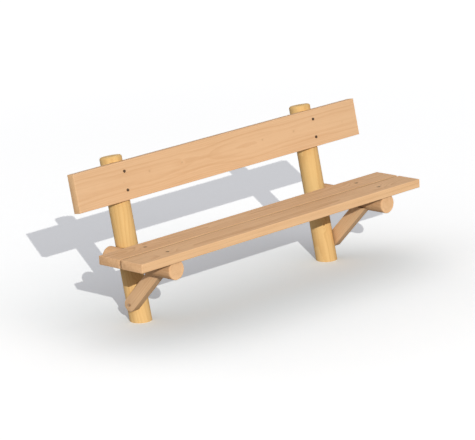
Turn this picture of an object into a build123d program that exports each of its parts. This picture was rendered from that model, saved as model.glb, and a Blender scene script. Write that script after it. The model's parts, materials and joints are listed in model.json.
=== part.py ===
"""Rustic log bench: two round posts that lean back carry a seat and a back board.

Each post has a round log bearer bolted to its outer side. The two seat planks lie across
the bearers. A sawn brace, housed in both logs, runs from the foot of the post up to the
bearer. The back board sits in housings cut square to the leaning posts.

X runs along the bench, Y from the front to the back and Z up, in millimetres. The origin
is on the ground, in the middle of the bench's footprint.
"""
import os
from math import cos, radians, sin, sqrt, tan

from build123d import *

os.makedirs("parts", exist_ok=True)

# Planks
bench_length = 2000
seat_plank_width = 145
seat_plank_thickness = 45
seat_plank_gap = 13
seat_height = 420
back_board_width = 195
back_board_thickness = 45
plank_arris = 3

# Posts
post_diameter = 113
post_from_end = 325
post_height = 832
post_lean = 10
post_top_chamfer = 8
post_to_seat_front = 390

# Bearers
bearer_diameter = 100
bearer_length = 480
bearer_front_setback = 15
bearer_end_chamfer = 2.5
bearer_seat_flat = 10

# Braces
brace_width = 70
brace_thickness = 45
brace_angle = 45
brace_foot_height = 98
brace_foot_ahead = 8
brace_arris = 2
brace_head_housing = 21
brace_foot_housing = 13

# Joints between the pieces
post_flat_depth = 11
bearer_flat_depth = 10
board_height_on_post = 607
board_housing_depth = 20
housing_gap = 0.5
seat_shoulder_gap = 2

# Dowel bore in each foot, for a ground anchor
anchor_bore_diameter = 18
anchor_bore_depth = 150

# Coach screws of the planks and of the brace feet
screw_diameter = 8
screw_length = 100
board_screw_length = 120
screw_head_flats = 13
screw_head_height = 5.3
screw_hole_gap = 0.25
board_screw_from_edge = 50
seat_recess_diameter = 18
seat_recess_depth = 6.5

# Bolts that hold the bearers to the posts
bolt_diameter = 10
bolt_head_flats = 17
bolt_head_height = 6.4
bolt_hole_gap = 0.25
bolt_end_proud = 3
nut_height = 8
washer_diameter = 30
washer_thickness = 2.5
bolt_recess_depth = 12
bolt_recess_gap = 2

# Dowels in the heads of the braces
dowel_diameter = 16
dowel_length = 70
dowel_gap = 0.25
dowel_end_gap = 1

# Directions and planes of the leaning posts
lean_sin = sin(radians(post_lean))
lean_cos = cos(radians(post_lean))
post_radius = post_diameter / 2
post_x = bench_length / 2 - post_from_end
rear_reach = (post_height - post_top_chamfer) * lean_sin + post_radius * lean_cos
foot_y = (post_to_seat_front - rear_reach) / 2
seat_front_y = foot_y - post_to_seat_front
up_post = (0, lean_sin, lean_cos)
behind_post = (0, lean_cos, -lean_sin)
before_post = (0, -lean_cos, lean_sin)
left_post_plane = Plane(origin=(-post_x, foot_y, 0), x_dir=(1, 0, 0), z_dir=up_post)

# The plane where a post meets its bearer
joint_x = post_x + post_radius - post_flat_depth
left_joint_plane = Plane(origin=(-joint_x, foot_y, 0), x_dir=behind_post, z_dir=(1, 0, 0))

# Seat and bearers
seat_underside = seat_height - seat_plank_thickness
seat_depth = 2 * seat_plank_width + seat_plank_gap
bearer_radius = bearer_diameter / 2
bearer_x = joint_x + bearer_radius - bearer_flat_depth
bearer_z = seat_underside + bearer_seat_flat - bearer_radius
bearer_front_y = seat_front_y + bearer_front_setback
bearer_bolt_y = foot_y + bearer_z * lean_sin / lean_cos
front_screw_y = seat_front_y + seat_plank_width / 2
rear_screw_y = front_screw_y + seat_plank_width + seat_plank_gap

# Back board
board_front_offset = back_board_thickness + post_radius - board_housing_depth
board_foot = Vector(0, foot_y, 0) + Vector(up_post) * board_height_on_post
board_origin = board_foot + Vector(before_post) * board_front_offset
board_face = Plane(origin=board_origin, x_dir=(1, 0, 0), z_dir=before_post)
board_screw_points = [
    (side * post_x, height)
    for side in (-1, 1)
    for height in (board_screw_from_edge, back_board_width - board_screw_from_edge)
]

# Seat screws, and the faces that the bearer bolts bear on
seat_screw_points = [(side * bearer_x, y) for side in (-1, 1) for y in (front_screw_y, rear_screw_y)]
screw_head_seat_z = seat_height - seat_recess_depth
bolt_head_seat_x = bearer_x + bearer_radius - bolt_recess_depth
nut_seat_x = post_x - post_radius + bolt_recess_depth
bolt_grip = bolt_head_seat_x - nut_seat_x + 2 * washer_thickness
bolt_length = bolt_grip + nut_height + bolt_end_proud

# Braces
brace_inner_x = joint_x - brace_foot_housing
brace_x = brace_inner_x + brace_thickness
brace_mid_x = brace_inner_x + brace_thickness / 2
brace_foot_y = foot_y - brace_foot_ahead
brace_head_z = bearer_z - bearer_radius + brace_head_housing
brace_head_ahead = (brace_head_z - brace_foot_height) / tan(radians(brace_angle))
brace_head_y = brace_foot_y - brace_head_ahead


def brace_corners(gap):
    """Corners and tip of the brace seen from the side, each face moved out by gap."""
    along = Vector(-cos(radians(brace_angle)), sin(radians(brace_angle)))
    across = Vector(sin(radians(brace_angle)), cos(radians(brace_angle)))
    half = brace_width / 2 + gap
    centre = Vector(brace_foot_y, brace_foot_height)
    low_foot = centre - across * half
    high_foot = centre + across * half
    tip = centre - along * half
    low_head = low_foot + along * ((brace_head_z - low_foot.Y) / along.Y)
    high_head = high_foot + along * ((brace_head_z - high_foot.Y) / along.Y)
    return low_foot, low_head, high_head, high_foot, tip


def hexagon_radius(flats):
    """Corner radius of a hexagon from its size across flats."""
    return flats / sqrt(3)


# ---- Posts -------------------------------------------------------------------------

with BuildPart() as post_left:
    with BuildSketch(left_post_plane.offset(-post_radius)):
        Circle(post_radius)
    extrude(amount=post_radius + post_height)
    top_rim = post_left.faces().sort_by(Axis.Z)[-1].edges()
    chamfer(top_rim, length=post_top_chamfer)
    split(bisect_by=Plane.XY, keep=Keep.TOP)

    # Housing for the bearer, level and cut flat across the outer side
    with BuildSketch(Plane.YZ.offset(-joint_x)):
        bearer_bite = sqrt(bearer_radius**2 - (bearer_radius - bearer_flat_depth - post_flat_depth) ** 2)
        with Locations((bearer_bolt_y, bearer_z)):
            Rectangle(2 * post_diameter, 2 * (bearer_bite + housing_gap))
    extrude(amount=-post_radius, mode=Mode.SUBTRACT)

    # Housing for the foot of the brace, sunk deeper than the bearer's
    low_foot, low_head, high_head, high_foot, tip = brace_corners(housing_gap)
    with BuildSketch(Plane.YZ.offset(-brace_inner_x)):
        with BuildLine():
            Polyline(low_foot, low_head, high_head, high_foot)
            ThreePointArc(high_foot, tip, low_foot)
        make_face()
    extrude(amount=-post_radius, mode=Mode.SUBTRACT)

    # Housing for the back board, square to the post
    with BuildSketch(left_post_plane.offset(board_height_on_post - housing_gap)):
        with Locations((0, -post_radius + board_housing_depth)):
            Rectangle(2 * post_diameter, post_diameter, align=(Align.CENTER, Align.MAX))
    extrude(amount=back_board_width + 2 * housing_gap, mode=Mode.SUBTRACT)

    # Pilot holes of the back board's screws
    with BuildSketch(board_face):
        with Locations(*board_screw_points[:2]):
            Circle(screw_diameter / 2 + screw_hole_gap)
    extrude(amount=-board_screw_length - screw_hole_gap, mode=Mode.SUBTRACT)

    # Bolt hole of the bearer, with a recess on the inner side for washer and nut
    with BuildSketch(Plane.YZ.offset(-joint_x)):
        with Locations((bearer_bolt_y, bearer_z)):
            Circle(bolt_diameter / 2 + bolt_hole_gap)
    extrude(amount=post_diameter, mode=Mode.SUBTRACT)
    with BuildSketch(Plane.YZ.offset(-nut_seat_x)):
        with Locations((bearer_bolt_y, bearer_z)):
            Circle(washer_diameter / 2 + bolt_recess_gap)
    extrude(amount=post_radius, mode=Mode.SUBTRACT)

    # Pilot hole of the brace's foot screw
    with BuildSketch(Plane.YZ.offset(-brace_x)):
        with Locations((brace_foot_y, brace_foot_height)):
            Circle(screw_diameter / 2 + screw_hole_gap)
    extrude(amount=screw_length + screw_hole_gap, mode=Mode.SUBTRACT)

    # Anchor bore, up the middle of the post from its level foot
    with BuildSketch(left_post_plane.offset(anchor_bore_depth)):
        Circle(anchor_bore_diameter / 2)
    extrude(amount=-anchor_bore_depth - post_radius, mode=Mode.SUBTRACT)

with BuildPart() as post_right:
    mirror(objects=post_left.part, about=Plane.YZ)

# ---- Bearers -----------------------------------------------------------------------

with BuildPart() as bearer_left:
    with BuildSketch(Plane(origin=(-bearer_x, bearer_front_y, bearer_z), x_dir=(1, 0, 0), z_dir=(0, 1, 0))):
        Circle(bearer_radius)
    extrude(amount=bearer_length)
    chamfer(bearer_left.edges().filter_by(GeomType.CIRCLE), length=bearer_end_chamfer)

    # Flat that the seat planks lie on, ending in a shoulder behind them
    with BuildSketch(Plane.XY.offset(seat_underside)):
        with Locations((-bearer_x, seat_front_y)):
            Rectangle(2 * bearer_diameter, seat_depth + seat_shoulder_gap, align=(Align.CENTER, Align.MIN))
    extrude(amount=bearer_radius, mode=Mode.SUBTRACT)

    # Flat against the post, run out through the rear end, its shoulder parallel to the post
    with BuildSketch(left_joint_plane):
        post_bite = sqrt(post_radius**2 - (post_radius - post_flat_depth - bearer_flat_depth) ** 2)
        with Locations((-post_bite - housing_gap, bearer_z / lean_cos)):
            Rectangle(2 * bearer_length, 2 * bearer_diameter, align=(Align.MIN, Align.CENTER))
    extrude(amount=bearer_radius, mode=Mode.SUBTRACT)

    # Housing for the head of the brace, open on the inner side
    low_foot, low_head, high_head, high_foot, tip = brace_corners(housing_gap)
    with BuildSketch(Plane.YZ.offset(-brace_x - housing_gap)):
        with BuildLine():
            Polyline(low_foot, low_head, high_head, high_foot)
            ThreePointArc(high_foot, tip, low_foot)
        make_face()
    extrude(amount=brace_thickness + post_radius, mode=Mode.SUBTRACT)

    # Pilot holes of the seat screws
    with BuildSketch(Plane.XY.offset(screw_head_seat_z)):
        with Locations((-bearer_x, front_screw_y), (-bearer_x, rear_screw_y)):
            Circle(screw_diameter / 2 + screw_hole_gap)
    extrude(amount=-screw_length - screw_hole_gap, mode=Mode.SUBTRACT)

    # Blind hole of the dowel in the head of the brace
    with BuildSketch(Plane.XY.offset(brace_head_z)):
        with Locations((-brace_mid_x, brace_head_y)):
            Circle(dowel_diameter / 2 + dowel_gap)
    extrude(amount=dowel_length / 2 + dowel_end_gap, mode=Mode.SUBTRACT)

    # Bolt hole through to the post, with a recess for the head on the outer side
    with BuildSketch(Plane.YZ.offset(-joint_x)):
        with Locations((bearer_bolt_y, bearer_z)):
            Circle(bolt_diameter / 2 + bolt_hole_gap)
    extrude(amount=-bearer_diameter, mode=Mode.SUBTRACT)
    with BuildSketch(Plane.YZ.offset(-bolt_head_seat_x)):
        with Locations((bearer_bolt_y, bearer_z)):
            Circle(washer_diameter / 2 + bolt_recess_gap)
    extrude(amount=-bearer_radius, mode=Mode.SUBTRACT)

with BuildPart() as bearer_right:
    mirror(objects=bearer_left.part, about=Plane.YZ)

# ---- Braces ------------------------------------------------------------------------

with BuildPart() as brace_left:
    low_foot, low_head, high_head, high_foot, tip = brace_corners(0)
    with BuildSketch(Plane.YZ.offset(-brace_x)):
        with BuildLine():
            Polyline(low_foot, low_head, high_head, high_foot)
            ThreePointArc(high_foot, tip, low_foot)
        make_face()
    extrude(amount=brace_thickness)
    brace_rims = brace_left.faces().filter_by(Axis.X).edges()
    foot_rims = brace_rims.filter_by(lambda edge: edge.center().Z < brace_head_z - brace_arris)
    chamfer(foot_rims, length=brace_arris)

    # Clearance hole of the foot screw
    with BuildSketch(Plane.YZ.offset(-brace_x)):
        with Locations((brace_foot_y, brace_foot_height)):
            Circle(screw_diameter / 2 + screw_hole_gap)
    extrude(amount=brace_thickness, mode=Mode.SUBTRACT)

    # Blind hole of the dowel
    with BuildSketch(Plane.XY.offset(brace_head_z)):
        with Locations((-brace_mid_x, brace_head_y)):
            Circle(dowel_diameter / 2 + dowel_gap)
    extrude(amount=-dowel_length / 2 - dowel_end_gap, mode=Mode.SUBTRACT)

with BuildPart() as brace_right:
    mirror(objects=brace_left.part, about=Plane.YZ)

# ---- Planks ------------------------------------------------------------------------

with BuildPart() as seat_plank_front:
    with BuildSketch(Plane.XY.offset(seat_underside)):
        with Locations((0, seat_front_y)):
            Rectangle(bench_length, seat_plank_width, align=(Align.CENTER, Align.MIN))
    extrude(amount=seat_plank_thickness)
    fillet(seat_plank_front.edges().filter_by(Axis.X), radius=plank_arris)
    with BuildSketch(Plane.XY.offset(seat_height)):
        with Locations((-bearer_x, front_screw_y), (bearer_x, front_screw_y)):
            Circle(screw_diameter / 2 + screw_hole_gap)
    extrude(amount=-seat_plank_thickness, mode=Mode.SUBTRACT)
    with BuildSketch(Plane.XY.offset(screw_head_seat_z)):
        with Locations((-bearer_x, front_screw_y), (bearer_x, front_screw_y)):
            Circle(seat_recess_diameter / 2)
    extrude(amount=seat_recess_depth, mode=Mode.SUBTRACT)

with BuildPart() as seat_plank_rear:
    with BuildSketch(Plane.XY.offset(seat_underside)):
        with Locations((0, seat_front_y + seat_plank_width + seat_plank_gap)):
            Rectangle(bench_length, seat_plank_width, align=(Align.CENTER, Align.MIN))
    extrude(amount=seat_plank_thickness)
    fillet(seat_plank_rear.edges().filter_by(Axis.X), radius=plank_arris)
    with BuildSketch(Plane.XY.offset(seat_height)):
        with Locations((-bearer_x, rear_screw_y), (bearer_x, rear_screw_y)):
            Circle(screw_diameter / 2 + screw_hole_gap)
    extrude(amount=-seat_plank_thickness, mode=Mode.SUBTRACT)
    with BuildSketch(Plane.XY.offset(screw_head_seat_z)):
        with Locations((-bearer_x, rear_screw_y), (bearer_x, rear_screw_y)):
            Circle(seat_recess_diameter / 2)
    extrude(amount=seat_recess_depth, mode=Mode.SUBTRACT)

with BuildPart() as back_board:
    with BuildSketch(board_face):
        Rectangle(bench_length, back_board_width, align=(Align.CENTER, Align.MIN))
    extrude(amount=-back_board_thickness)
    fillet(back_board.edges().filter_by(Axis.X), radius=plank_arris)
    with BuildSketch(board_face):
        with Locations(*board_screw_points):
            Circle(screw_diameter / 2 + screw_hole_gap)
    extrude(amount=-back_board_thickness, mode=Mode.SUBTRACT)

# ---- Coach screws of the planks ----------------------------------------------------

with BuildPart() as back_board_screws:
    with BuildSketch(board_face):
        with Locations(*board_screw_points):
            RegularPolygon(hexagon_radius(screw_head_flats), 6)
    extrude(amount=screw_head_height)
    with BuildSketch(board_face):
        with Locations(*board_screw_points):
            Circle(screw_diameter / 2)
    extrude(amount=-board_screw_length)

with BuildPart() as seat_screws:
    with BuildSketch(Plane.XY.offset(screw_head_seat_z)):
        with Locations(*seat_screw_points):
            RegularPolygon(hexagon_radius(screw_head_flats), 6)
    extrude(amount=screw_head_height)
    with BuildSketch(Plane.XY.offset(screw_head_seat_z)):
        with Locations(*seat_screw_points):
            Circle(screw_diameter / 2)
    extrude(amount=-screw_length)

# ---- Bolts from the bearers through the posts --------------------------------------

with BuildPart() as bearer_bolts:
    with BuildSketch(Plane.YZ.offset(-bolt_head_seat_x - washer_thickness)):
        with Locations((bearer_bolt_y, bearer_z)):
            RegularPolygon(hexagon_radius(bolt_head_flats), 6)
    extrude(amount=-bolt_head_height)
    with BuildSketch(Plane.YZ.offset(-bolt_head_seat_x - washer_thickness)):
        with Locations((bearer_bolt_y, bearer_z)):
            Circle(bolt_diameter / 2)
    extrude(amount=bolt_length)
    mirror(about=Plane.YZ)

with BuildPart() as bearer_bolt_head_washers:
    with BuildSketch(Plane.YZ.offset(-bolt_head_seat_x)):
        with Locations((bearer_bolt_y, bearer_z)):
            Circle(washer_diameter / 2)
            Circle(bolt_diameter / 2 + bolt_hole_gap, mode=Mode.SUBTRACT)
    extrude(amount=-washer_thickness)
    mirror(about=Plane.YZ)

with BuildPart() as bearer_bolt_nut_washers:
    with BuildSketch(Plane.YZ.offset(-nut_seat_x)):
        with Locations((bearer_bolt_y, bearer_z)):
            Circle(washer_diameter / 2)
            Circle(bolt_diameter / 2 + bolt_hole_gap, mode=Mode.SUBTRACT)
    extrude(amount=washer_thickness)
    mirror(about=Plane.YZ)

with BuildPart() as bearer_bolt_nuts:
    with BuildSketch(Plane.YZ.offset(-nut_seat_x + washer_thickness)):
        with Locations((bearer_bolt_y, bearer_z)):
            RegularPolygon(hexagon_radius(bolt_head_flats), 6)
            Circle(bolt_diameter / 2 + bolt_hole_gap, mode=Mode.SUBTRACT)
    extrude(amount=nut_height)
    mirror(about=Plane.YZ)

# ---- Coach screws at the feet of the braces ----------------------------------------

with BuildPart() as brace_foot_screws:
    with BuildSketch(Plane.YZ.offset(-brace_x)):
        with Locations((brace_foot_y, brace_foot_height)):
            RegularPolygon(hexagon_radius(screw_head_flats), 6)
    extrude(amount=-screw_head_height)
    with BuildSketch(Plane.YZ.offset(-brace_x)):
        with Locations((brace_foot_y, brace_foot_height)):
            Circle(screw_diameter / 2)
    extrude(amount=screw_length)
    mirror(about=Plane.YZ)

# ---- Dowels in the heads of the braces ---------------------------------------------

with BuildPart() as brace_head_dowels:
    with BuildSketch(Plane.XY.offset(brace_head_z - dowel_length / 2)):
        with Locations((-brace_mid_x, brace_head_y), (brace_mid_x, brace_head_y)):
            Circle(dowel_diameter / 2)
    extrude(amount=dowel_length)

# ---- One file for each named piece -------------------------------------------------

pieces = {
    "post_left": post_left,
    "post_right": post_right,
    "bearer_left": bearer_left,
    "bearer_right": bearer_right,
    "brace_left": brace_left,
    "brace_right": brace_right,
    "seat_plank_front": seat_plank_front,
    "seat_plank_rear": seat_plank_rear,
    "back_board": back_board,
    "back_board_screws": back_board_screws,
    "seat_screws": seat_screws,
    "bearer_bolts": bearer_bolts,
    "bearer_bolt_head_washers": bearer_bolt_head_washers,
    "bearer_bolt_nut_washers": bearer_bolt_nut_washers,
    "bearer_bolt_nuts": bearer_bolt_nuts,
    "brace_foot_screws": brace_foot_screws,
    "brace_head_dowels": brace_head_dowels,
}
for name, piece in pieces.items():
    piece.part.label = name
    export_step(piece.part, f"parts/{name}.step")
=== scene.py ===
"""The rustic log bench: detailed logs, planks, fasteners and wood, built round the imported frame."""
import json
import math
from collections import namedtuple

import bmesh
import bpy
import numpy as np
from mathutils import Matrix, Vector, noise


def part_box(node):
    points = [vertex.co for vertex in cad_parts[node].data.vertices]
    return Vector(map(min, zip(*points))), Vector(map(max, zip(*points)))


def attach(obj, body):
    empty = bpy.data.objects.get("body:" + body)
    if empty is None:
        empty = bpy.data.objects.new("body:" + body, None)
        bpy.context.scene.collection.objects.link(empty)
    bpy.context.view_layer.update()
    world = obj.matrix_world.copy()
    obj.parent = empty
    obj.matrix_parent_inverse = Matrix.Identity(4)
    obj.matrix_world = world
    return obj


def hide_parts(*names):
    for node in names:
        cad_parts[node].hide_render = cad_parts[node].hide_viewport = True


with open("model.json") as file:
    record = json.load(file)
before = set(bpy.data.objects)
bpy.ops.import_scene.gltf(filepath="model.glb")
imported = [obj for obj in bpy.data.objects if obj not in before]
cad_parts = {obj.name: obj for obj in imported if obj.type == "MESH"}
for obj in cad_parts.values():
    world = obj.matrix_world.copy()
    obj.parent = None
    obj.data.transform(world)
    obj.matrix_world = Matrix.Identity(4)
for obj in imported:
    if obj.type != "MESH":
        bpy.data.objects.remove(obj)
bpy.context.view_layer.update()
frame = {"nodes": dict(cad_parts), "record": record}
mounts = {m["name"]: m for m in frame["record"]["mounts"]}

# ---- Sizes and directions, in metres ------------------------------------------------------

X = Vector((1, 0, 0))
Y = Vector((0, 1, 0))
Z = Vector((0, 0, 1))
sides_of_bench = (("left", -1), ("right", 1))

anchor = mounts["anchor_left"]
foot_y = anchor["pos_m"][1]
post_x = abs(anchor["pos_m"][0])
up_post = -Vector(anchor["axis"]).normalized()
before_post = Vector((0, -up_post.z, up_post.y))
anchor_radius = anchor["dims"]["r_mm"] / 1000
anchor_depth = anchor["dims"]["length_mm"] / 1000

post_radius = 0.0565
post_length = 0.832
post_chamfers = (0.001, 0.008)
bearer_radius = 0.050
bearer_z = 0.335
bearer_chamfer = 0.0025
bearer_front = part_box("bearer_left")[0].y
bearer_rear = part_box("bearer_left")[1].y

# The post and the bearer are both cut flat, and their flats meet in the plane at joint_x
post_flat_depth = 0.011
bearer_flat_depth = 0.010
joint_x = post_x + post_radius - post_flat_depth
bearer_x = joint_x + bearer_radius - bearer_flat_depth
bolt_y = foot_y + bearer_z * up_post.y / up_post.z

plank_width = 0.145
plank_gap = 0.013
plank_thickness = 0.045
plank_arris = 0.003
half_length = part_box("back_board")[1].x
seat_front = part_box("seat_plank_front")[0].y
seat_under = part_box("seat_plank_front")[0].z
seat_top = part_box("seat_plank_front")[1].z
front_plank_origin = Vector((0, seat_front, seat_under))
rear_plank_origin = front_plank_origin + Y * (plank_width + plank_gap)
shoulder_gap = 0.002

board_width = 0.195
board_height_on_post = 0.607
board_housing = 0.020
board_foot = Vector((0, foot_y, 0)) + up_post * board_height_on_post
board_origin = board_foot + before_post * (plank_thickness + post_radius - board_housing)

brace_width = 0.070
brace_thickness = 0.045
brace_arris = 0.002
brace_foot_forward = 0.008
brace_foot_z = 0.098
brace_foot = Vector((0, foot_y - brace_foot_forward, brace_foot_z))
brace_foot_housing = 0.013
brace_head_housing = 0.021
brace_inner = joint_x - brace_foot_housing
brace_outer = brace_inner + brace_thickness
brace_head_z = bearer_z - bearer_radius + brace_head_housing
brace_along = Vector((0, -1, 1)).normalized()
brace_across = Vector((0, 1, 1)).normalized()

screw_flats = 0.013
screw_head = 0.0053
screw_radius = 0.004
board_screw_length = 0.120
board_screw_inset = 0.050
seat_screw_length = 0.100
seat_recess_depth = 0.0065
seat_recess_radius = 0.009
front_screw_y = seat_front + plank_width / 2
rear_screw_y = front_screw_y + plank_width + plank_gap
brace_screw_length = 0.100

bolt_flats = 0.017
bolt_head = 0.0064
bolt_radius = 0.005
bolt_recess_depth = 0.012
bolt_recess_radius = 0.017
nut_height = 0.008
thread_pitch = 0.0015
thread_length = 0.012
washer_radius = 0.015
washer_hole = 0.00525
washer_thickness = 0.0025

# Housings are wider than what goes in them by play, and cutters reach past the wood
play = 0.0005
past = 0.4
sharp_edge = math.radians(32)


def unevenness(spot):
    """Smooth noise from 0 to 1."""
    return 0.5 + 0.5 * noise.noise(spot)


# ---- Mesh helpers -------------------------------------------------------------------------

def new_piece(name, bm, material, replaced):
    """Makes an object of a bmesh, smooth but for its sharp edges, and puts it on the frame."""
    mesh = bpy.data.meshes.new(name)
    bmesh.ops.recalc_face_normals(bm, faces=bm.faces)
    bm.to_mesh(mesh)
    bm.free()
    mesh.shade_smooth()
    mesh.set_sharp_from_angle(angle=sharp_edge)
    piece = bpy.data.objects.new(name, mesh)
    bpy.context.scene.collection.objects.link(piece)
    mesh.materials.append(material)
    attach(piece, "root")
    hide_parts(replaced)
    return piece


def loft(bm, rings, cap=True):
    """Skins rings of points, each with the same count, and closes the ends."""
    rows = [[bm.verts.new(p) for p in ring] for ring in rings]
    for lower, upper in zip(rows, rows[1:]):
        bridge(bm, lower, upper)
    if cap:
        bm.faces.new(rows[0][::-1])
        bm.faces.new(rows[-1])
    return rows


def bridge(bm, lower, upper):
    """Joins two closed rows of vertices with faces."""
    for i in range(len(lower)):
        j = (i + 1) % len(lower)
        bm.faces.new((lower[i], lower[j], upper[j], upper[i]))


def spokes(axis, sides, turn=0.0):
    """Unit directions round an axis, evenly spaced, the first one turned by an angle."""
    side = Matrix.Rotation(turn, 3, axis) @ axis.orthogonal().normalized()
    other = axis.cross(side)
    angles = [2 * math.pi * k / sides for k in range(sides)]
    return [side * math.cos(a) + other * math.sin(a) for a in angles]


def rectangle(low_u, high_u, low_v, high_v):
    """The corners of a rectangle, as an outline for prism()."""
    return (low_u, low_v), (high_u, low_v), (high_u, high_v), (low_u, high_v)


def prism(outline, origin, u_dir, v_dir, depth):
    """A straight prism over an outline drawn on two directions; depth is a vector."""
    bm = bmesh.new()
    base = [origin + u_dir * u + v_dir * v for u, v in outline]
    loft(bm, [base, [p + depth for p in base]])
    return bm


def rod(start, end, radius, sides=48):
    """A plain round bar, used to drill holes."""
    ring = [d * radius for d in spokes((end - start).normalized(), sides)]
    bm = bmesh.new()
    loft(bm, [[start + p for p in ring], [end + p for p in ring]])
    return bm


def cut(piece, cutters):
    """Takes the cutters out of a piece, one after another."""
    for bm in cutters:
        bmesh.ops.recalc_face_normals(bm, faces=bm.faces)
        mesh = bpy.data.meshes.new("cutter")
        bm.to_mesh(mesh)
        bm.free()
        tool = bpy.data.objects.new("cutter", mesh)
        bpy.context.scene.collection.objects.link(tool)
        step = piece.modifiers.new("cut", "BOOLEAN")
        step.operation = "DIFFERENCE"
        step.solver = "EXACT"
        step.object = tool
        graph = bpy.context.evaluated_depsgraph_get()
        made = bpy.data.meshes.new_from_object(piece.evaluated_get(graph))
        piece.modifiers.clear()
        uncut = piece.data
        piece.data = made
        bpy.data.meshes.remove(uncut)
        bpy.data.objects.remove(tool)
        bpy.data.meshes.remove(mesh)
    piece.data.shade_smooth()
    piece.data.set_sharp_from_angle(angle=sharp_edge)


def mark_arris_band(bm, amount):
    """Stores how near each vertex is to an arris, for the paler arris colour: partly worn wood and
    partly a painted highlight.
    """
    layer = bm.verts.layers.float.new("arris_highlight_and_wear")
    for vert in bm.verts:
        vert[layer] = amount(vert.co)


# ---- Node helpers -------------------------------------------------------------------------

class Nodes:
    """Short names for the shader nodes of one node tree."""

    def __init__(self, tree):
        self.tree = tree
        self.tree.nodes.clear()

    def add(self, kind, **settings):
        node = self.tree.nodes.new("ShaderNode" + kind)
        for key, value in settings.items():
            setattr(node, key, value)
        return node

    def put(self, value, socket):
        """Links a socket, or sets a number, vector or colour on it."""
        if isinstance(value, bpy.types.NodeSocket):
            self.tree.links.new(value, socket)
        elif isinstance(value, (int, float)) and hasattr(socket.default_value, "__len__"):
            socket.default_value = [value] * len(socket.default_value)
        elif hasattr(socket.default_value, "__len__") and len(socket.default_value) == 4:
            socket.default_value = (*value[:3], 1)
        else:
            socket.default_value = value

    def math(self, operation, a, b=0.0, c=0.0, clamp=False):
        node = self.add("Math", operation=operation, use_clamp=clamp)
        for value, socket in zip((a, b, c), node.inputs):
            self.put(value, socket)
        return node.outputs[0]

    def times(self, a, b):
        return self.math("MULTIPLY", a, b)

    def plus(self, a, b):
        return self.math("ADD", a, b)

    def scaled(self, value, factor, offset):
        return self.math("MULTIPLY_ADD", value, factor, offset)

    def length_of(self, a, b):
        """The length of the plane vector (a, b)."""
        return self.math("SQRT", self.plus(self.times(a, a), self.times(b, b)))

    def dot(self, a, b):
        node = self.add("VectorMath", operation="DOT_PRODUCT")
        self.put(a, node.inputs[0])
        self.put(tuple(b), node.inputs[1])
        return node.outputs["Value"]

    def dimmed(self, colour, amount):
        node = self.add("VectorMath", operation="SCALE")
        self.put(colour, node.inputs[0])
        self.put(amount, node.inputs["Scale"])
        return node.outputs["Vector"]

    def join(self, x, y, z):
        node = self.add("CombineXYZ")
        for value, socket in zip((x, y, z), node.inputs):
            self.put(value, socket)
        return node.outputs[0]

    def split(self, vector):
        node = self.add("SeparateXYZ")
        self.put(vector, node.inputs[0])
        return node.outputs

    def noise(self, vector, scale, detail, rough, colour=False):
        node = self.add("TexNoise", noise_dimensions="3D")
        self.put(vector, node.inputs["Vector"])
        self.put(scale, node.inputs["Scale"])
        self.put(detail, node.inputs["Detail"])
        self.put(rough, node.inputs["Roughness"])
        return node.outputs["Color" if colour else "Fac"]

    def curve(self, value, stops):
        """A smooth grey ramp through (position, value) stops."""
        node = self.add("ValToRGB")
        ramp = node.color_ramp
        ramp.interpolation = "EASE"
        while len(ramp.elements) < len(stops):
            ramp.elements.new(0.5)
        for element, (position, level) in zip(ramp.elements, stops):
            element.position = position
            element.color = (level, level, level, 1)
        self.put(value, node.inputs[0])
        return node.outputs[0]

    def mix(self, amount, a, b, blend="MIX"):
        node = self.add("Mix", data_type="RGBA", blend_type=blend)
        self.put(amount, node.inputs["Factor"])
        self.put(a, node.inputs["A"])
        self.put(b, node.inputs["B"])
        return node.outputs["Result"]

    def tinted(self, colour, amount, tint):
        """The colour, multiplied by a tint as far as amount says."""
        return self.mix(amount, colour, self.mix(1.0, colour, tint, "MULTIPLY"))

    def span(self, value, low, high, to_low=0.0, to_high=1.0):
        """Maps low..high smoothly to to_low..to_high."""
        node = self.add("MapRange", clamp=True, interpolation_type="SMOOTHSTEP")
        for number, part in enumerate((value, low, high, to_low, to_high)):
            self.put(part, node.inputs[number])
        return node.outputs["Result"]

    def bump(self, height, strength, distance):
        node = self.add("Bump")
        self.put(strength, node.inputs["Strength"])
        self.put(distance, node.inputs["Distance"])
        self.put(height, node.inputs["Height"])
        return node.outputs[0]

    def open_air(self, distance, samples):
        """How open a point is, from 0 in a closed corner to 1 in the open."""
        node = self.add("AmbientOcclusion", samples=samples)
        self.put(distance, node.inputs["Distance"])
        return node.outputs["AO"]

    def seen(self):
        """1 for rays from the camera, also by a mirror or through glass, and 0 for others."""
        path = self.add("LightPath")
        mirrored = self.math("MAXIMUM", path.outputs["Is Glossy Ray"],
                             path.outputs["Is Transmission Ray"])
        return self.math("MAXIMUM", path.outputs["Is Camera Ray"], mirrored)

    def choose(self, amount, plain, other):
        """Goes from one shader to another."""
        node = self.add("MixShader")
        self.put(amount, node.inputs[0])
        self.put(plain.outputs[0], node.inputs[1])
        self.put(other.outputs[0], node.inputs[2])
        return node

    def finish(self, shader, kind="OutputMaterial"):
        self.put(shader.outputs[0], self.add(kind).inputs["Surface"])


def new_material(name):
    """A material and the helper for its nodes."""
    material = bpy.data.materials.new(name)
    material.use_nodes = True
    return material, Nodes(material.node_tree)


def linear(colour):
    """Linear colour from display values of 0 to 255."""
    out = []
    for c in colour:
        c /= 255
        out.append(c / 12.92 if c < 0.04045 else ((c + 0.055) / 1.055) ** 2.4)
    return tuple(out)


# ---- Wood ---------------------------------------------------------------------------------

# A branch in the wood: its place in metres from the wood's origin, the (across, through)
# direction in which it runs, the radius of its dark eye, and how dark the eye is
Knot = namedtuple("Knot", "along across through heading radius strength")

knot_eye_tint = (0.50, 0.42, 0.36)
# Paler arrises, partly worn and partly a painted highlight, by the tint and share below
worn_and_highlight_tint = (1.22, 1.20, 1.18)
wear_and_highlight_share = 0.35
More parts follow.
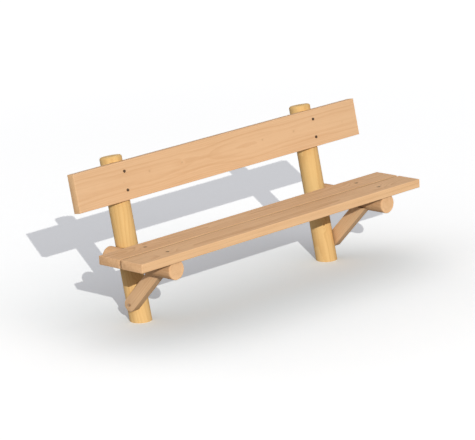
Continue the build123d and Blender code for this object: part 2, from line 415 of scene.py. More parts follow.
# A foot_tint fades out between these heights on the log
foot_rise = (0.16, 0.30)
# Painted shade: corners that are closed this far or further are darkened to the level set below
fully_shaded_openness = 0.10
corner_shade_level = 0.45
wood_gloss = 0.06
# The share of the fine fibres in the wood's relief, the rest of which is late wood
fibre_relief = 0.65


def grain_noise(n, place, across, along, shift, detail, rough, colour=False):
    """Noise drawn out along the grain: across and along are its scales, shift moves it."""
    u, v, w = place
    vector = n.join(n.times(u, across), n.times(v, across), n.scaled(w, along, shift))
    return n.noise(vector, 1.0, detail, rough, colour)


def distance_from_pith(n, place, pith, wander, seed):
    """Radius of the growth rings, which bend with the pith's slow wander and in small waves."""
    u, v, w = place
    wave_height = 0.010
    drift_scale = 1.1
    drift = n.noise(n.join(seed, seed * 1.7, n.times(w, drift_scale)),
                    scale=1.0, detail=1.0, rough=0.5, colour=True)
    wave = grain_noise(n, place, across=9.0, along=2.2, shift=seed + 5.0,
                       detail=3.0, rough=0.5, colour=True)
    offsets = []
    for axis, (value, centre) in enumerate(zip((u, v), pith)):
        slow = n.scaled(n.split(drift)[axis], 2 * wander, -wander - centre)
        fast = n.scaled(n.split(wave)[axis], wave_height, -wave_height / 2)
        offsets.append(n.plus(value, n.plus(slow, fast)))
    return n.length_of(*offsets)


def with_knots(n, place, radius, knots):
    """Each knot lifts the rings round it and has a dark eye of its own."""
    swell_height, swell_width = 1.5, 2.6
    swell_shape, eye_shape = math.sqrt(0.30), math.sqrt(0.55)
    eye_core, eye_rim = 0.45, 1.15
    u, v, w = place
    eye = None
    for knot in knots:
        du, dv = Vector(knot.heading).normalized()
        a = n.math("SUBTRACT", u, knot.across)
        b = n.math("SUBTRACT", v, knot.through)
        side = n.math("SUBTRACT", n.times(a, dv), n.times(b, du))
        lift = n.math("SUBTRACT", w, knot.along)
        near = n.length_of(side, n.times(lift, swell_shape))
        steepness = -1.0 / (swell_width * knot.radius) ** 2
        swell = n.math("EXPONENT", n.times(n.times(near, near), steepness))
        height = swell_height * knot.radius * knot.strength
        radius = n.math("MULTIPLY_ADD", swell, height, radius)
        core = n.length_of(side, n.times(lift, eye_shape))
        dark = n.span(core, knot.radius * eye_core, knot.radius * eye_rim,
                      to_low=knot.strength, to_high=0.0)
        eye = dark if eye is None else n.math("MAXIMUM", eye, dark)
    return radius, eye


def late_wood(n, radius, ring, seed):
    """Growth rings: pale early wood that darkens into a sharp late-wood line."""
    rings_of_spread, spread_scale = 2.4, 55.0
    spread = n.noise(n.join(n.times(radius, spread_scale), seed, 0.0),
                     scale=1.0, detail=2.0, rough=0.6)
    phase = n.plus(n.times(radius, 1.0 / ring), n.times(spread, rings_of_spread))
    late = n.curve(n.math("FRACT", phase),
                   ((0.0, 0.0), (0.42, 0.10), (0.80, 0.75), (0.93, 1.0), (1.0, 0.0)))
    year = n.add("TexWhiteNoise", noise_dimensions="1D")
    n.put(n.plus(n.math("FLOOR", phase), seed * 3.1), year.inputs["W"])
    return n.times(late, n.scaled(year.outputs["Value"], factor=0.65, offset=0.35))


def wood_tone(n, place, late, fibre, contrast, seed):
    """How dark the wood is: its late wood, long streaks, fine fibres and slow patches."""
    streak = grain_noise(n, place, across=70.0, along=1.6, shift=seed * 2.0,
                         detail=4.0, rough=0.62)
    patch = grain_noise(n, place, across=5.0, along=1.8, shift=seed * 4.0,
                        detail=2.0, rough=0.5)
    streak_tone = n.scaled(streak, factor=0.90 * contrast, offset=-0.45 * contrast)
    tone = n.plus(n.times(late, 0.50 * contrast), streak_tone)
    tone = n.plus(tone, n.scaled(fibre, factor=0.50, offset=-0.25))
    return n.math("ADD", tone, n.scaled(patch, factor=0.55, offset=-0.18), clamp=True)


def facing(n, direction):
    """1 on faces that look along the direction, either way, and 0 on the others."""
    normal = n.add("NewGeometry").outputs["Normal"]
    return n.span(n.math("ABSOLUTE", n.dot(normal, direction)), low=0.72, high=0.92)


def wear_highlight_and_corner_shade(n, colour, unshaded_openness):
    """Paler on the arrises, partly worn and partly a painted highlight, and darker where pieces meet
    and in closed corners, a painted shade.
    """
    arris_highlight_and_wear = n.add("Attribute", attribute_name="arris_highlight_and_wear").outputs["Fac"]
    colour = n.tinted(colour, n.times(arris_highlight_and_wear, wear_and_highlight_share), worn_and_highlight_tint)
    corner = n.span(n.open_air(distance=0.12, samples=8), fully_shaded_openness, unshaded_openness,
                    to_low=corner_shade_level, to_high=1.0)
    return n.dimmed(colour, corner)


def wood(name, origin, across, through, grain, pith, ring, colours, knots=(), seed=0.0,
         wander=0.012, contrast=1.0, end_tint=(0.93, 0.916, 0.893), painted_light_tint=None,
         foot_tint=None, unshaded_openness=0.64):
    """Solid sawn wood: growth rings round a pith that runs along the grain, knots and fibres.

    pith is the place of the pith on (across, through), in metres from the origin, and wander
    is how far it strays. ring sets the width of the growth rings, and colours are the pale and
    the dark wood. The tints multiply the colour: end_tint on end grain, painted_light_tint as a
    painted light on faces that look along across, foot_tint at the low end of a log.
    unshaded_openness is how open a corner has to be for its wood to keep its full brightness; closer
    corners get a painted shade.
    """
    light, dark = colours
    material, n = new_material(name)
    local = n.add("VectorMath", operation="SUBTRACT")
    n.put(n.add("TexCoord").outputs["Object"], local.inputs[0])
    n.put(tuple(origin), local.inputs[1])
    place = [n.dot(local.outputs["Vector"], direction) for direction in (across, through, grain)]
    radius = distance_from_pith(n, place, pith, wander, seed)
    radius, eye = with_knots(n, place, radius, knots)
    late = late_wood(n, radius, ring, seed)

    fibre = grain_noise(n, place, across=900.0, along=22.0, shift=0.0, detail=2.0, rough=0.6)
    tone = wood_tone(n, place, late, fibre, contrast, seed)
    colour = n.mix(tone, light, dark)
    if eye is not None:
        colour = n.mix(eye, colour, tuple(c * f for c, f in zip(dark, knot_eye_tint)))

    colour = n.tinted(colour, facing(n, grain), end_tint)
    # Painted light: faces that look along across are made lighter
    if painted_light_tint:
        colour = n.tinted(colour, facing(n, across), painted_light_tint)
    if foot_tint:
        colour = n.tinted(colour, n.span(place[2], *foot_rise, to_low=1.0, to_high=0.0),
                          foot_tint)
    # Paler arrises, partly worn and partly a painted highlight, and a painted shade in closed corners
    colour = wear_highlight_and_corner_shade(n, colour, unshaded_openness)

    shader = n.add("BsdfPrincipled")
    n.put(colour, shader.inputs["Base Color"])
    n.put(n.scaled(tone, factor=0.14, offset=0.52), shader.inputs["Roughness"])
    height = n.plus(n.times(late, 1 - fibre_relief), n.times(fibre, fibre_relief))
    n.put(n.bump(height, strength=0.30, distance=0.0006), shader.inputs["Normal"])
    n.put(wood_gloss, shader.inputs["Specular IOR Level"])
    n.finish(shader)
    return material


def steel(name, tint, rough):
    """Weathered galvanised steel: mottled grey-brown, finely scratched, with rusty stains."""
    rust = (0.12, 0.060, 0.030)
    material, n = new_material(name)
    place = n.add("TexCoord").outputs["Object"]
    mottle = n.noise(place, scale=260.0, detail=4.0, rough=0.65)
    stain = n.noise(place, scale=70.0, detail=3.0, rough=0.6)
    pale_tint = tuple(c * 1.9 for c in tint)
    colour = n.mix(n.span(mottle, low=0.35, high=0.68), tint, pale_tint)
    colour = n.mix(n.span(stain, low=0.52, high=0.75, to_high=0.55), colour, rust)
    shader = n.add("BsdfPrincipled")
    n.put(colour, shader.inputs["Base Color"])
    n.put(0.75, shader.inputs["Metallic"])
    n.put(n.scaled(mottle, factor=0.25, offset=rough), shader.inputs["Roughness"])
    n.put(n.bump(mottle, strength=0.35, distance=0.0002), shader.inputs["Normal"])
    n.finish(shader)
    return material


# ---- Logs, planks and braces --------------------------------------------------------------

def log_stations(length, chamfers, step):
    """Places along a log, each with how far its chamfer lies inside the full radius there."""
    def edge(size):
        return [(0.0, size), (0.25 * size, 0.60 * size), (0.55 * size, 0.28 * size), (size, 0.0)]

    lower, upper = chamfers
    stations = edge(lower)
    between = np.linspace(lower, length - upper, int(length / step))[1:-1]
    stations += [(t, 0.0) for t in between]
    stations += [(length - t, inset) for t, inset in edge(upper)[::-1]]
    return stations


def close_log_end(bm, outer, outward):
    """Closes a log's end with rings that get smaller and dip a little into it."""
    dip, dip_scale = 0.0004, 60
    centre = sum((v.co for v in outer), Vector()) / len(outer)
    last = outer
    for share in (0.85, 0.65, 0.45, 0.25, 0.08):
        inner = []
        for vert in outer:
            spot = centre + (vert.co - centre) * share
            inner.append(bm.verts.new(spot - outward * dip * unevenness(spot * dip_scale)))
        bridge(bm, last, inner)
        last = inner
    bm.faces.new(last)


def log(name, start, axis, length, radius, chamfers, seed, material, replaced):
    """A turned log: a close skin of rings with small hollows, chamfered at its ends."""
    sides = 144
    hollow_depth = 0.0006
    ripple_depth = 0.00012
    ripple_pitch = 0.011
    ripple_wander, wander_scale = 3, 0.7
    hollows_round, hollows_along = 1.1, 5.0
    arris_band_width = 0.006
    arris_free_radius = radius * 0.8
    other = axis.cross(X).normalized()
    bm = bmesh.new()
    rings = []
    for t, inset in log_stations(length, chamfers, step=0.007):
        ring = []
        for k in range(sides):
            a = 2 * math.pi * k / sides
            across, up = math.cos(a), math.sin(a)
            spot = Vector((across * hollows_round + seed, up * hollows_round, t * hollows_along))
            phase = t * 2 * math.pi / ripple_pitch
            phase += ripple_wander * noise.noise(spot * wander_scale)
            dip = hollow_depth * unevenness(spot) + ripple_depth * (1 + math.sin(phase))
            direction = X * across + other * up
            ring.append(start + axis * t + direction * (radius - inset - dip))
        rings.append(ring)
    rows = loft(bm, rings, cap=False)
    close_log_end(bm, rows[0], -axis)
    close_log_end(bm, rows[-1], axis)

    def near_arris(co):
        t = (co - start).dot(axis)
        r = (co - start - axis * t).length
        if r < arris_free_radius:
            return 0.0
        near = min(abs(t - chamfers[0] / 2), abs(t - length + chamfers[1] / 2))
        return max(0.0, 1 - near / arris_band_width)

    mark_arris_band(bm, near_arris)
    return new_piece(name, bm, material, replaced)


def plank_outline(width):
    """A plank's section with rounded corners, as points on (width, thickness)."""
    corner_steps, wide_steps, thin_steps = 5, 14, 4
    corners = ((plank_arris, plank_arris, 180),
               (width - plank_arris, plank_arris, 270),
               (width - plank_arris, plank_thickness - plank_arris, 0),
               (plank_arris, plank_thickness - plank_arris, 90))
    outline = []
    for number, (cu, cv, begin) in enumerate(corners):
        for k in range(corner_steps + 1):
            a = math.radians(begin + 90 * k / corner_steps)
            outline.append(Vector((cu + plank_arris * math.cos(a), cv + plank_arris * math.sin(a))))
        nu, nv, begin = corners[(number + 1) % 4]
        a = math.radians(begin)
        target = Vector((nu + plank_arris * math.cos(a), nv + plank_arris * math.sin(a)))
        here = outline[-1]
        count = wide_steps if number % 2 == 0 else thin_steps
        outline += [here.lerp(target, k / count) for k in range(1, count)]
    return outline


def uneven_section(outline, width, inset, phase):
    """A plank's section at one place: shrunk by inset, with its faces a little hollow."""
    wide_hollow, small_hollow = 0.00035, 0.00030
    hollows_across, small_scale = 14.0, 3.1
    half_width, half_thickness = width / 2, plank_thickness / 2
    section = []
    for a, b in outline:
        u = (a - half_width) * (1 - inset / half_width)
        v = (b - half_thickness) * (1 - inset / half_thickness)
        spot = Vector((phase, a * hollows_across, b * hollows_across))
        dip = wide_hollow * unevenness(spot) + small_hollow * unevenness(spot * small_scale)
        share_u, share_v = abs(u) / half_width, abs(v) / half_thickness
        if share_u >= share_v:
            u -= math.copysign(dip, u) * share_u
        else:
            v -= math.copysign(dip, v) * share_v
        section.append((u + half_width, v + half_thickness))
    return section


def plank(name, origin, width_dir, depth_dir, width, seed, material, replaced):
    """A planed plank with eased arrises, not quite flat, its ends cut square and eased round."""
    hollows_along = 3.0
    arris_band_width = 0.0035
    end_margin = 0.01
    stations_between = 120
    ends = [(0.0, 0.0014), (0.0004, 0.0006), (0.0012, 0.0)]
    stations = [(-half_length + t, inset) for t, inset in ends]
    inner_length = half_length - end_margin
    between = np.linspace(-inner_length, inner_length, stations_between)
    stations += [(x, 0.0) for x in between]
    stations += [(half_length - t, inset) for t, inset in ends[::-1]]
    outline = plank_outline(width)
    rings = []
    for x, inset in stations:
        section = uneven_section(outline, width, inset, x * hollows_along + seed)
        rings.append([origin + X * x + width_dir * u + depth_dir * v for u, v in section])
    bm = bmesh.new()
    loft(bm, rings)

    def near_arris(co):
        q = co - origin
        a, b = q.dot(width_dir), q.dot(depth_dir)
        near = sorted((min(a, width - a), min(b, plank_thickness - b), half_length - abs(q.x)))
        return max(0.0, 1 - near[1] / arris_band_width)

    mark_arris_band(bm, near_arris)
    return new_piece(name, bm, material, replaced)


def brace_edge():
    """The brace's outline on the YZ plane: a round foot, two long sides and a level head."""
    round_steps, side_steps, head_steps = 24, 40, 10
    half = brace_width / 2
    low = brace_foot - brace_across * half
    high = brace_foot + brace_across * half
    low_head = low + brace_along * ((brace_head_z - low.z) / brace_along.z)
    high_head = high + brace_along * ((brace_head_z - high.z) / brace_along.z)
    edge = []
    for k in range(round_steps + 1):
        a = math.pi * k / round_steps
        edge.append(brace_foot + (brace_across * math.cos(a) - brace_along * math.sin(a)) * half)
    edge += [low.lerp(low_head, k / side_steps) for k in range(1, side_steps + 1)]
    edge += [low_head.lerp(high_head, k / head_steps) for k in range(1, head_steps + 1)]
    edge += [high_head.lerp(high, k / side_steps) for k in range(1, side_steps)]
    return edge, (low + high + low_head + high_head) / 4


def brace(name, side, material, replaced):
    """A sawn brace with a round foot and eased arrises."""
    arris_band_width = 0.0025
    hollow, hollow_scale = 0.0003, 40
    arris_middle = 0.0006
    face_depth = 0.012
    head_margin = 1e-6
    edge, middle = brace_edge()
    arris = [(0.0, brace_arris), (arris_middle, arris_middle), (brace_arris, 0.0)]
    layers = arris + [(face_depth, 0.0), (brace_thickness / 2, 0.0),
                      (brace_thickness - face_depth, 0.0)]
    layers += [(brace_thickness - depth, inset) for depth, inset in arris[::-1]]
    rings = []
    for depth, inset in layers:
        ring = []
        for number, p in enumerate(edge):
            run = (edge[(number + 1) % len(edge)] - edge[number - 1]).normalized()
            inward = Vector((0, -run.z, run.y))
            if inward.dot(middle - p) < 0:
                inward = -inward
            q = p.copy()
            if p.z <= brace_head_z - head_margin:
                spot = p * hollow_scale + X * side * 3
                q += inward * (inset + hollow * unevenness(spot))
            ring.append(Vector((side * (brace_inner + depth), q.y, min(q.z, brace_head_z))))
        rings.append(ring)
    bm = bmesh.new()
    loft(bm, rings)

    def near_arris(co):
        depth = min(abs(co.x - side * brace_inner), abs(co.x - side * brace_outer))
        return max(0.0, 1 - depth / arris_band_width)

    mark_arris_band(bm, near_arris)
    return new_piece(name, bm, material, replaced)


# ---- Fasteners ----------------------------------------------------------------------------

def hexagon_head(bm, centre, axis, flats, height, turn=0.0):
    """A hexagon head with its top chamfered by a cone, so the flats get their curved edges."""
    sides = 72
    corner = flats / math.sqrt(3)
    cone_angle = math.radians(30)
    cone_begin = flats * 0.475
    foot_share, foot_height = 0.97, height * 0.06
    rim_shares = (0.9118, 0.893)
    top_shares = (0.46, 0.40, 0.25, 0.10)
    directions = spokes(axis, sides, turn)
    reaches = []
    for k in range(sides):
        off_flat = (2 * math.pi * k / sides + math.pi / 6) % (math.pi / 3) - math.pi / 6
        reaches.append(flats / 2 / math.cos(off_flat))

    def under_cone(r):
        return height - max(0.0, r - cone_begin) * math.tan(cone_angle)

    def row(radii, levels):
        return [centre + d * r + axis * h for d, r, h in zip(directions, radii, levels)]

    rows = [row([r * foot_share for r in reaches], [0.0] * sides),
            row(reaches, [foot_height] * sides),
            row(reaches, [under_cone(r) for r in reaches])]
    for share in rim_shares:
        radii = [min(r, corner * share) for r in reaches]
        rows.append(row(radii, [under_cone(r) for r in radii]))
    for share in top_shares:
        rows.append(row([flats * share] * sides, [height] * sides))
    loft(bm, rows)


def shank(bm, start, axis, length, radius, pitch=None):
    """A shank, ribbed by its thread where pitch is given, that narrows at its end."""
    sides = 24
    thread_depth = 0.00065
    end_share = 0.78
    directions = spokes(axis, sides)
    rows = []
    stations = np.arange(0.0, length, pitch / 4) if pitch else (0.0, length / 2)
    for t in stations:
        ring = []
        for k, direction in enumerate(directions):
            r = radius
            if pitch:
                turn = (t / pitch + k / sides) % 1.0
                r -= thread_depth * abs(2 * turn - 1)
            ring.append(start + axis * t + direction * r)
        rows.append(ring)
    rows.append([start + axis * length + d * radius * end_share for d in directions])
    loft(bm, rows)


def washer(bm, centre, axis):
    """A flat washer with rounded edges."""
    inner, outer, top = washer_hole, washer_radius, washer_thickness
    soft = top * 0.18
    sides = 64
    section = ((inner, soft), (inner + soft, 0.0), (outer - soft, 0.0), (outer, soft),
               (outer, top - soft), (outer - soft, top), (inner + soft, top), (inner, top - soft))
    directions = spokes(axis, sides)
    rows = [[bm.verts.new(centre + d * r + axis * h) for d in directions] for r, h in section]
    for row, following in zip(rows, rows[1:] + rows[:1]):
        bridge(bm, row, following)


def coach_screw(bm, seat, outward, length, turn):
    """A coach screw whose head stands on a seat."""
    hexagon_head(bm, seat, outward, screw_flats, screw_head, turn)
    shank(bm, seat, -outward, length, screw_radius)


# ---- Materials, from the display colours of the wood's pale and dark parts -----------------

board_colours = linear((236, 194, 152)), linear((214, 164, 119))
seat_colours = linear((241, 198, 154)), linear((204, 153, 108))
post_colours = linear((232, 193, 131)), linear((204, 157, 95))
bearer_colours = linear((234, 189, 144)), linear((204, 151, 104))
brace_colours = linear((241, 201, 158)), linear((212, 162, 117))
dowel_colours = linear((222, 190, 146)), linear((196, 158, 110))


def board_wood():
    """The back board's wood, with the small pin knots of its face."""
    heading = (0.08, 1.0)
    knots = [Knot(-0.511, 0.111, 0.0, heading, 0.0060, 0.22),
             Knot(-0.287, 0.110, 0.0, heading, 0.0060, 0.22),
             Knot(0.289, 0.111, 0.0, heading, 0.0060, 0.22),
             Knot(0.521, 0.110, 0.0, heading, 0.0060, 0.22),
             Knot(-0.689, 0.092, 0.0, (0.1, 1.0), 0.004, 0.12),
             Knot(0.886, 0.089, 0.0, (0.1, 1.0), 0.004, 0.12)]
    return wood("back_board_wood", board_origin, across=up_post, through=-before_post, grain=X,
                pith=(0.10, 0.16), ring=0.0046, colours=board_colours, knots=knots, seed=3.1,
                end_tint=(0.99, 1.00, 0.96))


def seat_wood(name, origin, pith, ring, knot, seed, painted_light_tint=None):
    """A seat plank's wood, which is stained brown round its screws."""
    stains = [Knot(side * bearer_x, plank_width / 2, 0.0, (0.0, 1.0), 0.012, 0.42)
              for side in (-1, 1)]
    return wood(name, origin, across=Y, through=Z, grain=X, pith=pith, ring=ring,
                colours=seat_colours, knots=[*stains, knot], seed=seed, contrast=1.1,
                end_tint=(0.95, 0.925, 0.90), painted_light_tint=painted_light_tint, unshaded_openness=0.98)


def post_wood(name, side, seed):
    """A post's wood: honey yellow, paler at its foot."""
    knots = [Knot(0.19, 0.0, 0.0, (-0.5, -1.0), 0.006, 0.6),
             Knot(0.46, 0.0, 0.0, (0.9, -0.5), 0.007, 0.6),
             Knot(0.33, 0.0, 0.0, (0.2, 1.0), 0.007, 0.7)]
    return wood(f"post_{name}_wood", Vector((side * post_x, foot_y, 0)), across=X,
                through=-before_post, grain=up_post, pith=(0.006, -0.004), ring=0.0036,
                colours=post_colours, knots=knots, seed=seed, wander=0.010, contrast=0.75,
                end_tint=(1.15, 1.15, 1.10), foot_tint=(1.11, 1.09, 1.11), unshaded_openness=0.50)


def bearer_wood(name, side, seed):
    """A bearer's wood, with pale end grain."""
    knots = [Knot(-0.20, 0.0, 0.0, (-1.0, 0.1), 0.005, 0.5)]
    return wood(f"bearer_{name}_wood", Vector((side * bearer_x, 0, bearer_z)), across=X,
                through=Z, grain=Y, pith=(-0.005, 0.006), ring=0.0034, colours=bearer_colours,
                knots=knots, seed=seed, wander=0.008, contrast=0.9,
                end_tint=(1.15, 1.19, 1.23))


def brace_wood(name, side, seed):
    """A brace's wood, sawn beside the pith."""
    return wood(f"brace_{name}_wood", brace_foot + X * side * brace_inner,
                across=brace_across, through=X, grain=brace_along, pith=(0.02, side * -0.05),
                ring=0.0036, colours=brace_colours, seed=seed, unshaded_openness=0.98)


seeds = {"left": 21.0, "right": 37.0}
dark_steel = steel("bolt_steel", (0.075, 0.048, 0.030), 0.46)
worn_steel = steel("worn_steel", (0.34, 0.23, 0.145), 0.50)
housing_depth = post_flat_depth + bearer_flat_depth


def half_chord(radius, depth):
    """Half the width of the flat that a cut of some depth leaves on a round log."""
    return math.sqrt(radius ** 2 - (radius - depth) ** 2)


def bolt_head_seat(side):
    """The middle of the recess in a bearer's outer side, where the bolt's head sits."""
    return Vector((side * (bearer_x + bearer_radius - bolt_recess_depth), bolt_y, bearer_z))


def bolt_nut_seat(side):
    """The middle of the recess in a post's inner side, where the nut sits."""
    return Vector((side * (post_x - post_radius + bolt_recess_depth), bolt_y, bearer_z))


# ---- Pieces -------------------------------------------------------------------------------

def build_post(name, side):
    """A post, cut level at the ground and housed for the bearer, the brace and the board."""
    foot = Vector((side * post_x, foot_y, 0))
    buried = 0.03
    post = log(f"log_post_{name}", foot - up_post * buried, up_post, post_length + buried,
               post_radius, post_chamfers, seed=side * 5.0 + 9.0,
               material=post_wood(name, side, seeds[name]),
               replaced=f"post_{name}")

    half = half_chord(bearer_radius, housing_depth) + play
    outward = X * side * past
    bearer_seat = prism(rectangle(-past, past, bearer_z - half, bearer_z + half),
                        X * side * joint_x, Y, Z, outward)

    reach = brace_width / 2 + play
    shape = []
    round_steps = 32
    for k in range(round_steps + 1):
        a = math.pi * k / round_steps
        shape.append(brace_foot + (brace_across * math.cos(a) - brace_along * math.sin(a)) * reach)
    shape += [shape[-1] + brace_along * past, shape[0] + brace_along * past]
    brace_seat = prism([(p.y, p.z) for p in shape], X * side * brace_inner, Y, Z, outward)

    corner = foot + up_post * (board_height_on_post - play)
    corner += before_post * (post_radius - board_housing)
    board_seat = prism(rectangle(-past, past, 0.0, board_width + 2 * play), corner, X, up_post,
                       before_post * past)

    nut_seat = bolt_nut_seat(side)
    bolt_recess = rod(nut_seat, nut_seat - outward, bolt_recess_radius)
    anchor_bore = rod(foot - up_post * past, foot + up_post * anchor_depth, anchor_radius)
    ground = prism(rectangle(-past, past, -past, past), foot, X, Y, -Z * past)
    cut(post, [ground, bearer_seat, brace_seat, board_seat, bolt_recess, anchor_bore])


def build_bearer(name, side):
    """A bearer, with a level flat for the planks and housed for the post and the brace."""
    bearer = log(f"log_bearer_{name}", Vector((side * bearer_x, bearer_front, bearer_z)), Y,
                 bearer_rear - bearer_front, bearer_radius, (bearer_chamfer, bearer_chamfer),
                 seed=side * 3.0 + 31.0, material=bearer_wood(name, side, seeds[name] + 4),
                 replaced=f"bearer_{name}")

    outward = X * side * past
    flat_rear = 2 * plank_width + plank_gap + shoulder_gap
    seat_flat = prism(rectangle(-past, past, -past, flat_rear),
                      Vector((side * bearer_x, seat_front, seat_under)), X, Y, Z * past)

    half = half_chord(post_radius, housing_depth) + play
    behind_post = -before_post
    base = Vector((side * joint_x, foot_y, 0)) + up_post * (bearer_z / up_post.z)
    post_seat = prism(rectangle(0.0, past, -past, past), base - behind_post * half, behind_post,
                      up_post, -outward)

    reach = brace_width / 2 + play
    low, high = brace_foot - brace_across * reach, brace_foot + brace_across * reach
    low_head = low + brace_along * ((brace_head_z - low.z) / brace_along.z)
    high_head = high + brace_along * ((brace_head_z - high.z) / brace_along.z)
    brace_seat = prism([(p.y, p.z) for p in (low, low_head, high_head, high)],
                       X * side * (brace_outer + play), Y, Z, -outward)

    head_seat = bolt_head_seat(side)
    bolt_recess = rod(head_seat, head_seat + outward, bolt_recess_radius)
    cut(bearer, [seat_flat, post_seat, brace_seat, bolt_recess])


def build_seat_plank(name, origin, seed, material, screw_y):
    """A seat plank with round recesses for the heads of its two screws."""
    piece = plank(f"planed_{name}", origin, Y, Z, plank_width, seed, material, name)
    recesses = []
    for side in (-1, 1):
        bottom = Vector((side * bearer_x, screw_y, seat_top - seat_recess_depth))
        recesses.append(rod(bottom, bottom + Z * past, seat_recess_radius))
    cut(piece, recesses)


def build_planks():
    """The two seat planks and the back board."""
    # The front plank's faces that look forward and back get a painted light
    front_wood = seat_wood("seat_front_wood", front_plank_origin, pith=(0.05, -0.11),
                           ring=0.0040, knot=Knot(0.41, 0.100, 0.045, (0.2, 1.0), 0.004, 0.5),
                           seed=11.3, painted_light_tint=(1.09, 1.09, 1.07))
    rear_wood = seat_wood("seat_rear_wood", rear_plank_origin, pith=(0.09, -0.13),
                          ring=0.0042, knot=Knot(-0.62, 0.050, 0.045, (-0.1, 1.0), 0.004, 0.5),
                          seed=17.9)
    build_seat_plank("seat_plank_front", front_plank_origin, seed=2.0, material=front_wood,
                     screw_y=front_screw_y)
    build_seat_plank("seat_plank_rear", rear_plank_origin, seed=8.0, material=rear_wood,
                     screw_y=rear_screw_y)
    plank("planed_back_board", board_origin, up_post, -before_post, board_width, seed=14.0,
          material=board_wood(), replaced="back_board")


def build_screws():
    """Coach screws of the board, the seat and the feet of the braces."""
    bm = bmesh.new()
    heights = (board_screw_inset, board_width - board_screw_inset)
    for number, (side, height) in enumerate((s, h) for s in (-1, 1) for h in heights):
        spot = board_origin + X * side * post_x + up_post * height
        coach_screw(bm, spot, before_post, board_screw_length, turn=0.35 + number * 0.8)
    new_piece("coach_screws_of_back_board", bm, dark_steel, "back_board_screws")

    bm = bmesh.new()
    rows = (front_screw_y, rear_screw_y)
    for number, (side, y) in enumerate((s, y) for s in (-1, 1) for y in rows):
        spot = Vector((side * bearer_x, y, seat_top - seat_recess_depth))
        coach_screw(bm, spot, Z, seat_screw_length, turn=0.2 + number * 1.1)
    new_piece("coach_screws_of_seat", bm, dark_steel, "seat_screws")

    bm = bmesh.new()
    for side in (-1, 1):
        spot = brace_foot + X * side * brace_outer
        coach_screw(bm, spot, X * side, brace_screw_length, turn=0.3)
    new_piece("coach_screws_of_brace_feet", bm, worn_steel, "brace_foot_screws")


def build_bolts():
    """The bolts between bearers and posts, with their washers and nuts."""
    bolts, head_washers, nut_washers, nuts = (bmesh.new() for _ in range(4))
    nut_bores = []
    for side in (-1, 1):
        out = X * side
        head_seat = bolt_head_seat(side)
        nut_seat = bolt_nut_seat(side)
        head_foot = head_seat + out * washer_thickness
        nut_foot = nut_seat - out * washer_thickness
        washer(head_washers, head_seat, out)
        washer(nut_washers, nut_seat, -out)
        hexagon_head(bolts, head_foot, out, bolt_flats, bolt_head, turn=0.4)
        thread_start = nut_seat - out * thread_pitch
        shank(bolts, head_foot, -out, (head_foot - thread_start).length, bolt_radius)
        shank(bolts, thread_start, -out, thread_length, bolt_radius, thread_pitch)
        hexagon_head(nuts, nut_foot, -out, bolt_flats, nut_height, turn=0.9)
        nut_bores.append(rod(nut_foot + out * nut_height, nut_foot - out * 2 * nut_height,
                             washer_hole, sides=32))
    new_piece("hexagon_bolts_of_bearers", bolts, dark_steel, "bearer_bolts")
    new_piece("washers_under_bolt_heads", head_washers, dark_steel,
              "bearer_bolt_head_washers")
    new_piece("washers_under_nuts", nut_washers, dark_steel,
              "bearer_bolt_nut_washers")
    nut_piece = new_piece("hexagon_nuts_of_bearers", nuts, dark_steel,
                          "bearer_bolt_nuts")
    cut(nut_piece, nut_bores)


def dress_dowels():
    """The hidden dowels keep their solids and get a wood of their own."""
    material = wood("dowel_wood", Vector(), across=X, through=Y, grain=Z, pith=(0.75, -0.13),
                    ring=0.002, colours=dowel_colours, seed=51.0)
    dowels = frame["nodes"]["brace_head_dowels"]
    dowels.data.materials.clear()
    dowels.data.materials.append(material)


for name, side in sides_of_bench:
    build_post(name, side)
for name, side in sides_of_bench:
    build_bearer(name, side)
for name, side in sides_of_bench:
    brace(f"sawn_brace_{name}", side, brace_wood(name, side, seeds[name] + 9),
          f"brace_{name}")
build_planks()
build_screws()
build_bolts()
dress_dowels()


# ---- Floor, light and camera --------------------------------------------------------------

def floor_material():
    """A pale floor: what the camera and reflections see is white, with the shadows kept and a painted
    shade under the bench.
    """
    bounce_greys = (0.29, 0.29, 0.29), (0.31, 0.31, 0.31)
    painted_shade_tint = (0.545, 0.597, 0.630)
    tint_middle = -0.12
    half_hidden = 0.194
    material, n = new_material("pale_floor")
    place = n.add("TexCoord").outputs["Object"]
    x, y, _ = n.split(place)
    cloud = n.noise(place, scale=0.6, detail=2.0, rough=0.5)

    # Light bounces from a plain grey, so that the undersides of the wood aren't too bright
    bounce = n.add("BsdfDiffuse")
    n.put(n.mix(cloud, *bounce_greys), bounce.inputs["Color"])

    # The floor gets whiter far from the bench and behind it
    far = n.span(n.length_of(x, y), low=3.0, high=12.5, to_low=0.775, to_high=1.0)
    behind = n.span(y, low=-0.8, high=1.6, to_low=0.99, to_high=1.035)
    level = n.times(n.times(far, behind), n.scaled(cloud, factor=0.01, offset=0.995))

    # Under the bench it gets a painted shade, by how hidden it is from the sky, less so past the ends
    off_middle = n.math("ABSOLUTE", n.plus(x, -tint_middle))
    past_end = n.span(off_middle, low=0.75, high=1.30, to_low=1.0, to_high=0.45)
    open_air = n.open_air(distance=3.0, samples=16)
    hidden = n.times(past_end, n.math("SUBTRACT", 1.0, open_air))
    hidden = n.math("DIVIDE", hidden, n.plus(hidden, half_hidden))
    white = n.dimmed(n.mix(hidden, (1.0, 1.0, 1.0), painted_shade_tint), level)

    # Two layers add up to a brighter white than one can be in this light
    both = n.add("AddShader")
    for socket in both.inputs:
        layer = n.add("BsdfDiffuse")
        n.put(white, layer.inputs["Color"])
        n.put(layer.outputs[0], socket)
    n.finish(n.choose(n.seen(), bounce, both))
    return material


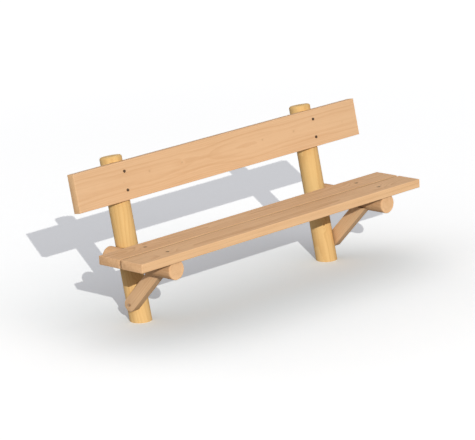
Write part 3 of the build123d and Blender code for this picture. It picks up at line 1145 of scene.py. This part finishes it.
def add_floor():
    """The floor is a large sheet, which isn't part of the object."""
    half_size = 60
    mesh = bpy.data.meshes.new("floor")
    bm = bmesh.new()
    bmesh.ops.create_grid(bm, x_segments=8, y_segments=8, size=half_size)
    bm.to_mesh(mesh)
    bm.free()
    mesh.materials.append(floor_material())
    floor = bpy.data.objects.new("floor", mesh)
    bpy.context.scene.collection.objects.link(floor)


def add_world():
    """A soft sky, a little lighter towards -X, which the camera and reflections see as white."""
    world = bpy.data.worlds.new("studio")
    bpy.context.scene.world = world
    world.use_nodes = True
    n = Nodes(world.node_tree)
    heading = n.split(n.add("TexCoord").outputs["Generated"])
    sky = n.add("Background")
    n.put((0.965, 0.975, 1.02), sky.inputs["Color"])
    n.put(n.scaled(heading[0], factor=-0.118, offset=0.387), sky.inputs["Strength"])
    white = n.add("Background")
    n.put((1.0, 1.0, 1.0), white.inputs["Color"])
    n.put(1.0, white.inputs["Strength"])
    n.finish(n.choose(n.seen(), sky, white), "OutputWorld")


def add_lamp():
    """A lamp far off to the front and left, small enough for the photo's crisp shadows."""
    lamp = bpy.data.lights.new("key", "POINT")
    lamp.energy = 104400
    lamp.shadow_soft_size = 0.147
    lamp.color = (1.0, 0.988, 0.93)
    key = bpy.data.objects.new("key", lamp)
    key.location = (-31.0, -45.1, 22.0)
    bpy.context.scene.collection.objects.link(key)


def add_camera():
    """The photo's camera, as fitted to its edges."""
    sensor = 36
    photo_width = 475
    focal_pixels = 2763.21
    eye = (-9.51102, -9.69351, 3.85075)
    yaw, pitch, roll = (math.radians(a) for a in (44.2742, 14.3355, -3.3201))
    flat_ahead = Vector((math.sin(yaw), math.cos(yaw), 0))
    ahead = flat_ahead * math.cos(pitch) - Z * math.sin(pitch)
    level = Vector((math.cos(yaw), -math.sin(yaw), 0))
    above = level.cross(ahead)
    right = level * math.cos(roll) + above * math.sin(roll)
    top = above * math.cos(roll) - level * math.sin(roll)
    data = bpy.data.cameras.new("camera")
    data.sensor_width = sensor
    data.lens = sensor * focal_pixels / photo_width
    data.clip_end = 300
    camera = bpy.data.objects.new("camera", data)
    bpy.context.scene.collection.objects.link(camera)
    turn = Matrix((right, top, -ahead)).transposed().to_4x4()
    camera.matrix_world = Matrix.Translation(eye) @ turn
    bpy.context.scene.camera = camera


add_floor()
add_world()
add_lamp()
add_camera()
bpy.context.scene.view_settings.view_transform = "Standard"
